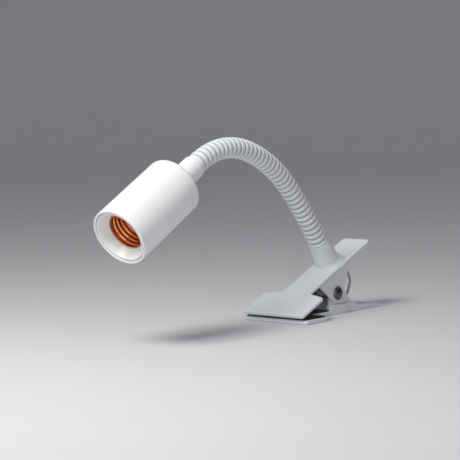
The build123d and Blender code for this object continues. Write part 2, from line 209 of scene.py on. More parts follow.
@dataclass(frozen=True)
class Metal:
    """Bare metal with fine turned or drawn lines and a little tarnish."""

    name: str
    slot: str
    colour: tuple[float, float, float]
    tarnish: tuple[float, float, float]
    roughness: float
    line_mm: float = 0.12
    line_depth_mm: float = 0.002
    blotch_mm: float = 3.0
    tarnish_share: float = 0.35

    def material(self) -> bpy.types.Material:
        """Builds the material."""
        graph = Graph(self.name)
        place = graph.place()
        along = graph.add("ShaderNodeAttribute", {"attribute_name": "along"}, None, "Fac")
        lines = graph.add(
            "ShaderNodeTexNoise",
            {"noise_dimensions": "1D"},
            {"W": along, "Scale": 1.0 / self.line_mm, "Detail": 3.0},
            "Fac",
        )
        blotches = graph.noise(self.blotch_mm, 4.0, place).rising(0.45, 0.75) * self.tarnish_share
        fine = graph.noise(0.25, 2.0, place)
        tone = graph.mix(blotches, shade(self.colour, 1.0), shade(self.tarnish, 1.0))
        rough = self.roughness + lines * 0.08 + blotches * 0.25
        normal = graph.bump(lines * self.line_depth_mm + fine * (0.4 * self.line_depth_mm), 1.0)
        return graph.surface({"Base Color": tone, "Roughness": rough, "Metallic": 1.0, "Normal": normal})


class Finish(Enum):
    """Every finish on the lamp."""

    SHELL = Moulding("satin_white_moulding", "white_shell", (0.73, 0.745, 0.76), 0.42)
    COVER = Moulding("smooth_white_cover", "white_shell", (0.86, 0.865, 0.875), 0.46, grain_depth_mm=0.003)
    # The sleeve's grooves get painted shade, down to half the crest colour.
    SLEEVE = Moulding(
        "soft_white_sleeve", "white_sleeve", (0.79, 0.805, 0.83), 0.50, grain_mm=0.5,
        grain_depth_mm=0.008, painted_groove_shade=0.50,
    )
    INSERT = Moulding("white_holder_body", "white_insert", (0.86, 0.85, 0.835), 0.34, grain_depth_mm=0.003)
    # Black grip pads on the jaws; their black also paints the shade in the gap between the jaws.
    GRIP_PADS_AND_GAP_SHADE = Moulding(
        "black_grip_pads_and_gap_shade", "grip_rubber", (0.02, 0.02, 0.022), 0.72, grain_mm=0.3,
        grain_depth_mm=0.02, mottle=0.2,
    )
    GLAND = Moulding("white_gland_rubber", "gland_rubber", (0.70, 0.71, 0.73), 0.62, grain_depth_mm=0.01)
    BASE = Moulding("dark_base_moulding", "dark_moulding", (0.06, 0.035, 0.022), 0.45, mottle=0.3)
    # Painted reflection: the bright polished pin steel is made near black so its head shows a dark
    # reflection even under the pale surround.
    PIN = Metal("pin_steel_painted_dark_reflection", "bright_steel", (0.13, 0.127, 0.122), (0.07, 0.06, 0.055), 0.10)
    WIRE = Metal("drawn_spring_steel", "spring_steel", (0.42, 0.42, 0.43), (0.16, 0.15, 0.14), 0.28)
    ZINC = Metal("zinc_plated_steel", "zinc_steel", (0.66, 0.66, 0.62), (0.45, 0.43, 0.36), 0.30)
    COPPER = Metal(
        "rolled_copper", "copper", (0.94, 0.40, 0.19), (0.45, 0.13, 0.045), 0.16, line_mm=0.2,
        blotch_mm=5.0, tarnish_share=0.45,
    )
    BRASS = Metal("contact_brass", "contact_brass", (0.80, 0.60, 0.28), (0.40, 0.26, 0.10), 0.26)


# ---------------------------------------------------------------- outlines and meshes


def rounded(corners: Sequence[tuple[float, float, float]], steps: int = 6,
            closed: bool = True) -> list[Point]:
    """Outline whose corners are arcs.

    Args:
        corners: (a, b, radius) of each corner in order.
        steps: spans in each arc.
        closed: whether the last corner joins the first.

    Returns:
        The points of the outline.
    """
    points: list[Point] = []
    count = len(corners)
    for index, (a, b, radius) in enumerate(corners):
        here = Vector((a, b))
        at_end = not closed and index in (0, count - 1)
        if radius <= 0 or at_end:
            points.append((a, b))
            continue
        before = (Vector(corners[index - 1][:2]) - here).normalized()
        after = (Vector(corners[(index + 1) % count][:2]) - here).normalized()
        half = before.angle(after) / 2
        centre = here + (before + after).normalized() * radius / math.sin(half)
        first = here + before * radius / math.tan(half) - centre
        last = here + after * radius / math.tan(half) - centre
        turn_by = first.angle_signed(last)
        for step in range(steps + 1):
            spoke = first.copy()
            spoke.rotate(Matrix.Rotation(-turn_by * step / steps, 2))
            points.append(tuple(centre + spoke))
    return points


def turned(outline: Sequence[Point], steps: int = 96, closed: bool = True) -> bmesh.types.BMesh:
    """Solid of revolution about Z.

    Args:
        outline: (radius, height) points.
        steps: spans round the axis.
        closed: whether the outline is a loop, as on a ring, or starts and ends on the axis.

    Returns:
        The mesh, in the outline's units.
    """
    bm = bmesh.new()
    verts = [bm.verts.new((radius, 0.0, height)) for radius, height in outline]
    pairs = list(zip(verts, verts[1:]))
    if closed:
        pairs.append((verts[-1], verts[0]))
    edges = [bm.edges.new(pair) for pair in pairs]
    bmesh.ops.spin(
        bm, geom=verts + edges, cent=(0, 0, 0), axis=(0, 0, 1), dvec=(0, 0, 0),
        angle=math.tau, steps=steps, use_merge=True, use_duplicate=False,
    )
    bmesh.ops.remove_doubles(bm, verts=bm.verts, dist=1e-5)
    bmesh.ops.recalc_face_normals(bm, faces=bm.faces)
    return bm


def prism(outline: Sequence[Point], low: float, high: float) -> bmesh.types.BMesh:
    """Straight prism of a plan outline, from Z low to Z high."""
    bm = bmesh.new()
    face = bm.faces.new([bm.verts.new((a, b, low)) for a, b in outline])
    top = bmesh.ops.extrude_face_region(bm, geom=[face])["geom"]
    verts = [v for v in top if isinstance(v, bmesh.types.BMVert)]
    bmesh.ops.translate(bm, verts=verts, vec=(0, 0, high - low))
    bmesh.ops.recalc_face_normals(bm, faces=bm.faces)
    return bm


def soften(bm: bmesh.types.BMesh, radius: float, chosen: Callable[[bmesh.types.BMEdge], bool],
           segments: int = 4) -> None:
    """Rounds the chosen edges of a mesh."""
    edges = [edge for edge in bm.edges if chosen(edge)]
    bmesh.ops.bevel(
        bm, geom=edges, offset=radius, offset_type="OFFSET", segments=segments, profile=0.5,
        affect="EDGES", material=-1, clamp_overlap=True,
    )


def rim_edges(height: float) -> Callable[[bmesh.types.BMEdge], bool]:
    """Chooser of the edges of a prism that lie round its face at a height."""
    def chosen(edge: bmesh.types.BMEdge) -> bool:
        """Whether both ends are at the height."""
        return all(abs(vert.co.z - height) < 1e-4 for vert in edge.verts)
    return chosen


def swept(route: Sequence[Vector], radius: float, sides: int = 16) -> bmesh.types.BMesh:
    """Round wire along a route.

    Args:
        route: the points of its middle line.
        radius: the wire's radius.
        sides: spans round it.

    Returns:
        The mesh, in the route's units.
    """
    bm = bmesh.new()
    aim = (route[1] - route[0]).normalized()
    matrix = Matrix.Translation(route[0]) @ aim.to_track_quat("Z", "Y").to_matrix().to_4x4()
    bmesh.ops.create_circle(bm, cap_ends=False, segments=sides, radius=radius, matrix=matrix)
    edges = list(bm.edges)
    for index in range(1, len(route)):
        ahead = (route[min(index + 1, len(route) - 1)] - route[index - 1]).normalized()
        made = bmesh.ops.extrude_edge_only(bm, edges=edges)["geom"]
        ring = {item for item in made if isinstance(item, bmesh.types.BMVert)}
        sides_made = [item for item in made if isinstance(item, bmesh.types.BMEdge)]
        edges = [edge for edge in sides_made if ring.issuperset(edge.verts)]
        turn_to = aim.rotation_difference(ahead).to_matrix().to_4x4()
        move = Matrix.Translation(route[index]) @ turn_to @ Matrix.Translation(-route[index - 1])
        bmesh.ops.transform(bm, matrix=move, verts=list(ring))
        aim = ahead
    bmesh.ops.holes_fill(bm, edges=[edge for edge in bm.edges if edge.is_boundary], sides=0)
    bmesh.ops.recalc_face_normals(bm, faces=bm.faces)
    return bm


def note_along(bm: bmesh.types.BMesh, measure: Callable[[Vector], float], name: str = "along") -> None:
    """Stores a number for each vertex, which the finishes read."""
    layer = bm.verts.layers.float.get(name) or bm.verts.layers.float.new(name)
    for vert in bm.verts:
        vert[layer] = measure(vert.co)


def as_object(bm: bmesh.types.BMesh, name: str) -> bpy.types.Object:
    """Puts a mesh in the scene and frees the bmesh."""
    mesh = bpy.data.meshes.new(name)
    bm.to_mesh(mesh)
    bm.free()
    made = bpy.data.objects.new(name, mesh)
    bpy.context.scene.collection.objects.link(made)
    return made


def combined(base: bmesh.types.BMesh, steps: Iterable[tuple[str, bmesh.types.BMesh]]) -> bmesh.types.BMesh:
    """Adds and cuts solids in order.

    Args:
        base: the first solid.
        steps: pairs of a Boolean operation and the solid it takes.

    Returns:
        The resulting mesh.
    """
    body = as_object(base, "work_body")
    tools = []
    for operation, tool in steps:
        tools.append(as_object(tool, "work_tool"))
        cut = body.modifiers.new("cut", "BOOLEAN")
        cut.operation = operation
        cut.solver = "EXACT"
        cut.object = tools[-1]
    bpy.context.view_layer.update()
    shaped = bpy.data.meshes.new_from_object(body.evaluated_get(bpy.context.evaluated_depsgraph_get()))
    bm = bmesh.new()
    bm.from_mesh(shaped)
    bpy.data.meshes.remove(shaped)
    for made in [body, *tools]:
        mesh = made.data
        bpy.data.objects.remove(made)
        bpy.data.meshes.remove(mesh)
    bmesh.ops.remove_doubles(bm, verts=bm.verts, dist=1e-4)
    return bm


@dataclass
class Bench:
    """Where finished meshes become pieces on their bodies."""

    materials: dict[Finish, bpy.types.Material] = field(default_factory=dict)
    made: list[str] = field(default_factory=list)

    def material(self, finish: Finish) -> bpy.types.Material:
        """The finish's material, built once."""
        if finish not in self.materials:
            self.materials[finish] = finish.value.material()
        return self.materials[finish]

    def finished(self, bm: bmesh.types.BMesh, name: str, finish: Finish, crease: float = 35.0,
                 even: bool = False) -> bpy.types.Object:
        """Dresses a mesh given in millimetres.

        Args:
            bm: the mesh, in the row's frame.
            name: the piece's name.
            finish: its finish.
            crease: edges sharper than this stay sharp, in degrees.
            even: whether large faces keep their own normals.

        Returns:
            The piece, in metres.
        """
        bmesh.ops.transform(bm, matrix=Matrix.Scale(MM, 4), verts=bm.verts)
        for face in bm.faces:
            face.smooth = True
        for edge in bm.edges:
            edge.smooth = len(edge.link_faces) == 2 and edge.calc_face_angle(0.0) < math.radians(crease)
        piece = as_object(bm, name)
        if even:
            weighted = piece.modifiers.new("even_faces", "WEIGHTED_NORMAL")
            weighted.mode = "FACE_AREA"
            weighted.keep_sharp = True
            weighted.weight = 50
        piece.data.materials.append(self.material(finish))
        self.made.append(name)
        log.info("%s: %d faces, %s", name, len(piece.data.polygons), finish.value.name)
        return piece

    def mount(self, piece: bpy.types.Object, body: str, *nodes: str) -> None:
        """Lets a piece ride on a body and stand for CAD nodes."""
        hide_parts(*nodes)
        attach(piece, body)

    def dress(self, node: str, finish: Finish) -> None:
        """Gives a CAD node that stays its finish."""
        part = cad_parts[node]
        part.data.materials.clear()
        part.data.materials.append(self.material(finish))
        log.info("%s: CAD mesh, %s", node, finish.value.name)


def upright(origin: Vector, heading: float) -> Matrix:
    """Local frame whose Z points along a heading in side view and whose X is the row's X.

    Args:
        origin: where its origin goes, in millimetres.
        heading: angle of its Z from +Y towards +Z, in degrees.

    Returns:
        The matrix from local to row.
    """
    angle = math.radians(heading)
    axis = Vector((0.0, math.cos(angle), math.sin(angle)))
    across = Vector((1.0, 0.0, 0.0))
    turn_to = Matrix((across, axis.cross(across), axis)).transposed().to_4x4()
    return Matrix.Translation(origin) @ turn_to


def side_view(bm: bmesh.types.BMesh) -> bmesh.types.BMesh:
    """Turns a prism drawn as (Y, Z) and raised along Z so that it is raised along X."""
    turn_to = Matrix(((0, 0, 1), (1, 0, 0), (0, 1, 0))).to_4x4()
    bmesh.ops.transform(bm, matrix=turn_to, verts=bm.verts)
    return bm


# ---------------------------------------------------------------- the lamp's sub-assemblies


@dataclass
class Neck:
    """Ribbed sleeve along four tangent arcs in the plane X = 0."""

    start: Point = (44.5, 52.6)
    heading: float = 125.3
    arcs: tuple[tuple[float, float], ...] = (
        (60.7, 373.5), (59.0, 119.4), (57.38, 70.4), (20.0, 4000.0),
    )
    pitch: float = 4.82
    ribs_per_link: int = 3
    crest: float = 7.85
    groove: float = 6.8
    bore: float = 4.95
    groove_half: float = 0.48
    shoulder: float = 3.2
    buried: float = 1.2
    seat: float = 0.6

    def at(self, distance: float) -> tuple[Vector, float]:
        """Place and heading at a distance along the neck."""
        y, z = self.start
        heading = math.radians(self.heading)
        left = distance
        for length, radius in self.arcs:
            run = min(left, length)
            after = heading + run / radius
            y += radius * (math.sin(after) - math.sin(heading))
            z -= radius * (math.cos(after) - math.cos(heading))
            heading = after
            left -= run
        return Vector((0.0, y, z)), math.degrees(heading)

    @property
    def length(self) -> float:
        """From the neck's start, inside the boss, to the collar."""
        return self.pitch * (self.ribs_per_link * LINKS + 2)

    def joint(self, index: int) -> float:
        """Distance of a joint along the neck."""
        return self.pitch * (1 + self.ribs_per_link * index)

    def rib_radius(self, distance: float) -> float:
        """Outer radius of the sleeve at a distance along it: broad round ribs, narrow grooves."""
        share = (distance / self.pitch) % 1.0
        from_groove = min(share, 1.0 - share) * self.pitch
        rise = max(0.0, from_groove - self.groove_half) / (self.pitch / 2 - self.groove_half)
        dome = (1.0 - (1.0 - rise) ** self.shoulder) ** (1.0 / 1.6)
        return self.groove + (self.crest - self.groove) * dome

    def sleeve(self, low: float, high: float) -> bmesh.types.BMesh:
        """Sleeve between two distances, bent along the neck."""
        spans = max(8, round((high - low) / self.pitch * 14))
        heights = [low + (high - low) * i / spans for i in range(spans + 1)]
        outer = [(self.rib_radius(h), h) for h in heights]
        inner = [(self.bore, h) for h in (high, (high + low) / 2, low)]
        bm = turned(outer + inner, steps=72)
        # The groove depth drives the painted shade in the sleeve's grooves.
        note_along(bm, self._grooved, "groove")
        for vert in bm.verts:
            origin, heading = self.at(min(max(vert.co.z, 0.0), self.length))
            vert.co = upright(origin, heading) @ Vector((vert.co.x, vert.co.y, 0.0))
        bmesh.ops.recalc_face_normals(bm, faces=bm.faces)
        return bm

    def _grooved(self, co: Vector) -> float:
        """1 in a groove or inside, 0 on a crest; the sleeve's finish paints shade into the grooves with it.
        """
        depth = (self.crest - math.hypot(co.x, co.y)) / (self.crest - self.groove)
        return max(0.0, min(1.0, depth)) ** 1.5

    def build(self, bench: Bench) -> None:
        """Makes one stretch of sleeve round each joint, shaped along the neck's arcs."""
        for index in range(LINKS + 1):
            middle = self.joint(index)
            low = max(self.buried, middle - self.pitch)
            high = min(self.length, middle + 2 * self.pitch)
            if index == LINKS:
                high = self.length + self.seat
            name = f"sleeve_{index + 1:02d}"
            piece = bench.finished(self.sleeve(low, high), name, Finish.SLEEVE, crease=60.0)
            nodes = ["sleeve_end_clip" if index == 0 else f"sleeve_link_{index:02d}"]
            if index == LINKS:
                nodes.append("sleeve_end_head")
            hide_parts(*nodes)
            start, _ = self.at(middle - self.pitch)
            end, _ = self.at(middle + self.pitch)
            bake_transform(piece)


@dataclass
class Lampholder:
    """Round cover, mouth ring, screw shell and collar, turned about the lampholder's axis."""

    neck: Neck
    collar_length: float = 23.42
    collar_radius: float = 8.8
    radius: float = 22.0
    length: float = 68.5
    wall: float = 1.8
    back_wall: float = 2.6
    back_round: float = 4.0
    ring_radius: float = 19.9
    recess_radius: float = 17.9
    recess_foot: float = 15.0
    recess_depth: float = 7.8
    seat_radius: float = 14.4
    shell_radius: float = 14.1
    shell_bore: float = 13.1
    shell_length: float = 23.0
    thread_pitch: float = 3.63
    thread_depth: float = 0.85
    base_thick: float = 4.5
    nipple_hole: float = 5.06

    def frame_of_back(self) -> Matrix:
        """Local frame on the back face, with Z towards the mouth."""
        end, heading = self.neck.at(self.neck.length)
        angle = math.radians(heading)
        back = end + Vector((0, math.cos(angle), math.sin(angle))) * self.collar_length
        return upright(back, heading)

    def _set(self, bm: bmesh.types.BMesh) -> bmesh.types.BMesh:
        """Notes the height for the turned lines and puts the mesh in place."""
        note_along(bm, lambda co: co.z + 0.3 * math.hypot(co.x, co.y))
        bmesh.ops.transform(bm, matrix=self.frame_of_back(), verts=bm.verts)
        return bm

    def cover(self) -> bmesh.types.BMesh:
        """White round cover, open at the mouth."""
        inside = self.radius - self.wall
        corners = [
            (self.nipple_hole, 0.0, 0.3),
            (self.radius, 0.0, self.back_round),
            (self.radius, self.length, 0.75),
            (inside, self.length, 0.75),
            (inside, self.back_wall, self.back_round - 1.5),
            (self.nipple_hole, self.back_wall, 0.0),
        ]
        return self._set(turned(rounded(corners, 10), 160))

    def insert(self) -> bmesh.types.BMesh:
        """White holder body: mouth ring, recess, seat of the shell."""
        mouth = self.length - 0.6
        shoulder = self.length - self.recess_depth
        back = shoulder - 0.6 - self.shell_length - self.base_thick
        corners = [
            (self.recess_radius + 0.5, mouth, 1.1),
            (self.ring_radius, mouth, 0.7),
            (self.ring_radius, shoulder - 2.0, 0.0),
            (self.seat_radius + 2.0, shoulder - 5.5, 0.0),
            (self.seat_radius + 2.0, back, 0.0),
            (self.seat_radius, back, 0.0),
            (self.seat_radius, shoulder, 0.2),
            (self.recess_foot, shoulder, 0.3),
        ]
        return self._set(turned(rounded(corners, 8), 128))

    def shell(self) -> bmesh.types.BMesh:
        """Copper screw shell with its rolled thread."""
        front = self.length - self.recess_depth - 0.6
        back = front - self.shell_length
        spans = 110
        middle = (self.shell_radius + self.shell_bore) / 2 + 0.1
        half_wall = 0.2
        heights = [front - self.shell_length * i / spans for i in range(spans + 1)]
        inner = [(middle - half_wall, h) for h in heights]
        floor_in = [(8.0, back), (8.0, back - 0.4)]
        outer = [(middle + half_wall, h) for h in reversed(heights)]
        outer[0] = (middle + half_wall, back - 0.4)
        bm = turned(inner + floor_in + outer, 128)
        for vert in bm.verts:
            radius = math.hypot(vert.co.x, vert.co.y)
            if radius < middle - 1.0:
                continue
            angle = math.atan2(vert.co.y, vert.co.x)
            turns = (vert.co.z - back) / self.thread_pitch - angle / math.tau
            fade = min(1.0, max(0.0, (front - vert.co.z - 0.8) / 1.2))
            fade *= min(1.0, max(0.0, (vert.co.z - back - 2.0) / 2.0))
            move = self.thread_depth / 2 * fade * math.cos(math.tau * turns)
            vert.co.x *= (radius + move) / radius
            vert.co.y *= (radius + move) / radius
        bmesh.ops.recalc_face_normals(bm, faces=bm.faces)
        return self._set(bm)

    def collar(self) -> bmesh.types.BMesh:
        """Smooth collar between the sleeve and the cover."""
        corners = [
            (self.nipple_hole, -self.collar_length, 0.0),
            (self.collar_radius, -self.collar_length, 0.8),
            (self.collar_radius, -0.05, 0.3),
            (self.nipple_hole, -0.05, 0.0),
        ]
        return self._set(turned(rounded(corners, 6), 96))

    def build(self, bench: Bench) -> None:
        """Makes the lampholder's pieces."""
        body = "lampholder"
        bench.mount(bench.finished(self.cover(), "round_cover", Finish.COVER), body, "holder_cover")
        bench.mount(bench.finished(self.insert(), "mouth_insert", Finish.INSERT), body, "holder_insert")
        bench.mount(bench.finished(self.shell(), "threaded_shell", Finish.COPPER, 50.0), body, "screw_shell")
        bench.mount(bench.finished(self.collar(), "smooth_collar", Finish.COVER), body, "head_collar")
        bench.dress("contact_base", Finish.BASE)
        bench.dress("centre_contact", Finish.BRASS)
        bench.dress("terminal_blocks", Finish.BRASS)
        bench.dress("terminal_screws", Finish.ZINC)
        bench.dress("head_nipple", Finish.ZINC)
        bench.dress("head_nut", Finish.ZINC)
        bench.dress("core_end_head", Finish.WIRE)


@dataclass
class UpperHalf:
    """Upper half of the clip: jaw wing, stem, handle, ears and boss."""

    neck: Neck
    front: Point = (-17.6, 3.1)
    tilt: float = 23.4
    length: float = 124.0
    thick: float = 2.9
    jaw_half: float = 29.4
    stem_half: float = 13.4
    wing_length: float = 29.5
    wing_root: float = 33.5
    pivot: Point = (50.8, 12.5)
    ear_radius: float = 8.0
    ear_wall: float = 2.0
    ear_inset: float = 0.5
    boss_top: float = 8.3
    boss_flare: float = 5.6
    boss_length: float = 21.3
    boss_lip: float = 1.2
    scoop_start: float = 87.0
    scoop_depth: float = 2.0
    scoop_half: float = 6.6
    scoop_bank: float = 3.8
    flute_depth: float = 0.36
    flute_pitch: float = 5.2
    cell: float = 1.4

    def plate_frame(self) -> Matrix:
        """Local frame on the plate's top face, with Y up the slope and Z out of the face."""
        return upright(Vector((0.0, *self.front)), self.tilt + 90.0)

    def plan(self) -> list[Point]:
        """T shaped plan of the plate."""
        right = [
            (self.jaw_half, 0.0, 2.8),
            (self.jaw_half, self.wing_length, 2.8),
            (self.stem_half, self.wing_root, 5.0),
            (self.stem_half, self.length, 3.5),
        ]
        left = [(-a, b, radius) for a, b, radius in reversed(right)]
        return rounded(right + left, 8)

    def relief(self, x: float, y: float) -> float:
        """Depth of the top face below its plane: the thumb scoop and the jaw's flutes."""
        scoop_end = self.length - 4.0
        depth = 0.0
        if self.scoop_start - 3 < y < scoop_end:
            along = (y - self.scoop_start) / (scoop_end - self.scoop_start)
            length_part = smooth((y - self.scoop_start + 3) / 6.0) * (1.0 - smooth(along) * 0.9)
            across = 1.0 - smooth((abs(x) - self.scoop_half) / self.scoop_bank)
            depth += self.scoop_depth * length_part * across
        if 6.0 < y < 58.0:
            spread = smooth((y - 6.0) / 18.0) * (1.0 - smooth((y - 34.0) / 24.0))
            width = 1.0 - smooth((abs(x) - 7.0) / 4.0)
            depth += self.flute_depth * spread * width * (1 - math.cos(x * math.tau / self.flute_pitch))
        return depth

    def plate(self) -> bmesh.types.BMesh:
        """The plate with its rounded rim and modelled top face."""
        bm = prism(self.plan(), -self.thick, 0.0)
        soften(bm, 1.15, rim_edges(0.0), 5)
        soften(bm, 0.9, rim_edges(-self.thick), 4)
        lines = int(self.stem_half / self.cell)
        for index in range(-lines, lines + 1):
            geom = [*bm.verts, *bm.edges, *bm.faces]
            bmesh.ops.bisect_plane(
                bm, geom=geom, dist=1e-4, plane_co=(index * self.cell, 0, 0), plane_no=(1, 0, 0),
            )
        for index in range(3, int(self.length / self.cell)):
            geom = [*bm.verts, *bm.edges, *bm.faces]
            bmesh.ops.bisect_plane(
                bm, geom=geom, dist=1e-4, plane_co=(0, index * self.cell, 0), plane_no=(0, 1, 0),
            )
        for vert in bm.verts:
            if vert.co.z > -0.01:
                vert.co.z -= self.relief(vert.co.x, vert.co.y)
        bmesh.ops.transform(bm, matrix=self.plate_frame(), verts=bm.verts)
        bmesh.ops.recalc_face_normals(bm, faces=bm.faces)
        return bm

    def boss(self) -> bmesh.types.BMesh:
        """Hollow boss with a flared foot."""
        grow = math.tan(math.radians(self.boss_flare))
        foot = self.boss_length + 1.6
        base = self.boss_top + grow * self.boss_length
        corners = [
            (4.0, 8.0, 0.0),
            (self.neck.crest + 0.02, 8.0, 0.0),
            (self.neck.crest + 0.02, -self.boss_lip, 0.15),
            (self.boss_top + 0.1, -self.boss_lip, 0.3),
            (base - grow * 3.5, self.boss_length - 3.5, 6.0),
            (base + 3.4, foot, 0.0),
            (4.0, foot, 0.0),
        ]
        bm = turned(rounded(corners, 8), 96)
        matrix = upright(Vector((0.0, *self.neck.start)), self.neck.heading + 180.0)
        bmesh.ops.transform(bm, matrix=matrix, verts=bm.verts)
        bmesh.ops.recalc_face_normals(bm, faces=bm.faces)
        return bm

    def ear(self, side: int) -> bmesh.types.BMesh:
        """One ear, narrowing down to the pin."""
        y, z = self.pivot
        front_slope = math.radians(35.6)
        rear_slope = math.radians(69.0)
        front = (y - self.ear_radius * math.sin(front_slope), z - self.ear_radius * math.cos(front_slope))
        rear = (y + self.ear_radius * math.sin(rear_slope), z - self.ear_radius * math.cos(rear_slope))
        steps = 20
        first = math.atan2(front[1] - z, front[0] - y)
        last = math.atan2(rear[1] - z, rear[0] - y)
        outline = [(front[0] - 24.2 * math.cos(front_slope), front[1] + 24.2 * math.sin(front_slope))]
        for step in range(steps + 1):
            angle = first + (last - first) * step / steps
            outline.append((y + self.ear_radius * math.cos(angle), z + self.ear_radius * math.sin(angle)))
        outline.append((rear[0] + 30.6 * math.cos(rear_slope), rear[1] + 30.6 * math.sin(rear_slope)))
        outer = self.stem_half - self.ear_inset
        bm = prism(outline, outer - self.ear_wall + self.ear_inset, outer)
        soften(bm, 0.6, rim_edges(outer), 3)
        side_view(bm)
        if side < 0:
            bmesh.ops.scale(bm, vec=(-1, 1, 1), verts=bm.verts)
            bmesh.ops.recalc_face_normals(bm, faces=bm.faces)
        return bm

    def build(self, bench: Bench) -> None:
        """Makes the upper half and dresses what it carries."""
        parts = [("UNION", self.boss()), ("UNION", self.ear(1)), ("UNION", self.ear(-1))]
        bm = combined(self.plate(), parts)
        piece = bench.finished(bm, "upper_clip_half", Finish.SHELL, 40.0, even=True)
        bench.mount(piece, "clip_top", "clip_upper")
        bench.dress("neck_nipple", Finish.ZINC)
        bench.dress("neck_nut", Finish.ZINC)
        bench.dress("wedge_washer", Finish.ZINC)
        bench.dress("cord_gland", Finish.GLAND)
        # The upper grip pad is black, which also paints shade in the gap between the jaws.
        bench.dress("upper_jaw_grip", Finish.GRIP_PADS_AND_GAP_SHADE)
        bench.dress("core_end_clip", Finish.WIRE)


@dataclass
class LowerHalf:
    """Lower half of the clip: jaw, bracket with two ears, finger lever."""

    bottom: float = -4.3
    jaw_top: float = -0.9
    jaw_half: float = 31.0
    stem_half: float = 13.4
    jaw_front: float = -14.0
    jaw_end: float = 14.0
    bracket_front: float = 41.0
    ledge: float = 3.5
    lever_start: float = 78.1
    lever_end: float = 112.3
    lever_top: float = 0.1
    lever_tip_top: float = -1.9
    floor: float = 2.0
    pivot: Point = (50.8, 12.5)
    ear_outer: float = 11.1
    ear_inner: float = 9.1
    ear_radius: float = 9.0

    def jaw(self) -> bmesh.types.BMesh:
        """Flat jaw and the stem that runs back to the bracket."""
        right = [
            (self.jaw_half, self.jaw_front, 2.0),
            (self.jaw_half, self.jaw_end, 2.2),
            (self.stem_half, self.jaw_end + 2.0, 3.5),
            (self.stem_half, self.bracket_front + 4.0, 0.0),
        ]
        left = [(-a, b, radius) for a, b, radius in reversed(right)]
        bm = prism(rounded(right + left, 8), self.bottom, self.jaw_top)
        soften(bm, 0.9, rim_edges(self.jaw_top), 4)
        soften(bm, 1.0, rim_edges(self.bottom), 4)
        return bm

    def body(self) -> bmesh.types.BMesh:
        """Bracket floor, full width side walls and lever, seen from the side."""
        outline = rounded(
            [
                (self.bracket_front, self.bottom, 0.6),
                (self.lever_end, self.bottom, 0.6),
                (self.lever_end, self.lever_tip_top, 1.1),
                (self.lever_start, self.lever_top, 6.0),
                (73.6, self.ledge, 1.6),
                (self.bracket_front, self.ledge, 1.2),
            ]
        )
        bm = prism(outline, -self.stem_half, self.stem_half)
        soften(bm, 0.8, rim_edges(self.stem_half), 4)
        soften(bm, 0.8, rim_edges(-self.stem_half), 4)
        return side_view(bm)

    def channel(self) -> bmesh.types.BMesh:
        """Cut between the side walls."""
        low = self.bottom + self.floor
        front = self.bracket_front - 1.0
        back = self.lever_start - 3.1
        outline = [(front, low), (back, low), (back, 20.0), (front, 20.0)]
        return side_view(prism(outline, -self.ear_inner, self.ear_inner))

    def pockets(self) -> list[bmesh.types.BMesh]:
        """Hollows under the lever, with a rib between them."""
        slope = (self.lever_top - self.lever_tip_top) / (self.lever_end - self.lever_start)
        made = []
        for low, high in ((self.lever_start, 93.0), (94.8, self.lever_end - 3.0)):
            roof_low = self.lever_top - slope * (low - self.lever_start) - 1.6
            roof_high = self.lever_top - slope * (high - self.lever_start) - 1.6
            outline = [(low, self.bottom - 1), (high, self.bottom - 1), (high, roof_high), (low, roof_low)]
            made.append(side_view(prism(outline, -self.ear_outer - 0.3, self.ear_outer + 0.3)))
        return made

    def ear(self, side: int) -> bmesh.types.BMesh:
        """One ear, inside the upper half's ear."""
        y, z = self.pivot
        outline = rounded(
            [
                (self.bracket_front + 1.2, self.ledge - 1.2, 0.0),
                (74.0, self.ledge - 1.0, 0.0),
                (69.8, 6.6, 3.0),
                (66.1, 10.0, 3.0),
                (y + 8.4, z + 8.6, 6.5),
                (y - 8.0, z + 9.0, 7.0),
                (self.bracket_front + 1.5, 8.6, 3.0),
            ]
        )
        bm = prism(outline, self.ear_inner, self.ear_outer)
        soften(bm, 0.4, rim_edges(self.ear_outer), 3)
        soften(bm, 0.4, rim_edges(self.ear_inner), 3)
        side_view(bm)
        if side < 0:
            bmesh.ops.scale(bm, vec=(-1, 1, 1), verts=bm.verts)
            bmesh.ops.recalc_face_normals(bm, faces=bm.faces)
        return bm

    def build(self, bench: Bench) -> None:
        """Makes the lower half."""
        steps = [("UNION", self.jaw()), ("DIFFERENCE", self.channel())]
        steps += [("DIFFERENCE", pocket) for pocket in self.pockets()]
        steps += [("UNION", self.ear(1)), ("UNION", self.ear(-1))]
        bm = combined(self.body(), steps)
        piece = bench.finished(bm, "lower_clip_half", Finish.SHELL, 40.0, even=True)
        bench.mount(piece, "clamp", "clip_lower")
        # The lower grip pad is black, which also paints shade in the gap between the jaws.
        bench.dress("lower_jaw_grip", Finish.GRIP_PADS_AND_GAP_SHADE)


